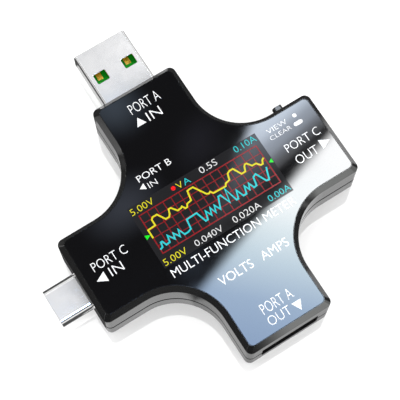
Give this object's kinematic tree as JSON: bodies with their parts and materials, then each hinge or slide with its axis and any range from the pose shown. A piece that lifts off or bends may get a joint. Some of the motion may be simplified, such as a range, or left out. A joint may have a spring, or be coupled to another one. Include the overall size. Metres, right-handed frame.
{
  "type": "usb power meter",
  "caption": "Cross-shaped inline USB power meter: glossy display panel, USB-A and USB-C plugs and sockets, micro-USB input and a side button.",
  "frame": {"origin": "middle of the flat bottom face, under the centre of the cross", "axes": "+Z out of the display, +Y along the arm with the USB-A plug, +X along the arm with the button"},
  "size_m": [0.0658, 0.0721, 0.0117],
  "materials": {
    "black_acrylic": "mirror gloss",
    "case_plastic": "gloss with a fine moulded grain",
    "button_plastic": "satin",
    "black_tape": "matte",
    "plated_steel": "bright nickel plating",
    "green_plastic": "satin",
    "black_insulator": "satin",
    "gold_contact": "gold plating",
    "board_laminate": "green solder mask",
    "display_glass": "dark display glass",
    "white_plastic": "matte",
    "ribbon_film": "polyimide film",
    "chip_black": "matte epoxy",
    "ceramic_tan": "ceramic"
  },
  "bodies": {
    "meter": {"bottom_case": "case_plastic", "top_case": "case_plastic", "panel_adhesive": "black_tape", "front_panel": "black_acrylic", "switch_base": "chip_black", "switch_cover": "plated_steel", "switch_dome": "plated_steel", "usb_a_plug_shell": "plated_steel", "usb_a_plug_insulator": "green_plastic", "usb_a_plug_contacts": "gold_contact", "usb_a_socket_shell": "plated_steel", "usb_a_socket_insulator": "black_insulator", "usb_a_socket_contacts": "gold_contact", "usb_a_socket_springs": "plated_steel", "usb_c_plug_shell": "plated_steel", "usb_c_plug_insulator": "black_insulator", "usb_c_plug_contacts": "gold_contact", "usb_c_socket_shell": "plated_steel", "usb_c_socket_insulator": "black_insulator", "usb_c_socket_contacts": "gold_contact", "micro_usb_shell": "plated_steel", "micro_usb_insulator": "black_insulator", "micro_usb_contacts": "gold_contact", "main_board": "board_laminate", "lcd_glass": "display_glass", "lcd_backlight": "white_plastic", "lcd_holder": "white_plastic", "lcd_ribbon": "ribbon_film", "microcontroller": "chip_black", "crystal": "plated_steel", "memory_chip": "chip_black", "current_shunt": "chip_black", "voltage_regulator": "chip_black", "smd_capacitors": "ceramic_tan", "smd_resistors": "chip_black"},
    "button": {"button_cap": "button_plastic", "switch_plunger": "chip_black"}
  },
  "joints": [
    {"name": "button_press", "type": "slide", "parent": "meter", "child": "button", "axis": [0, -1, 0], "range_m": [0, 0.00025], "stiffness_N_per_m": 4000}
  ]
}
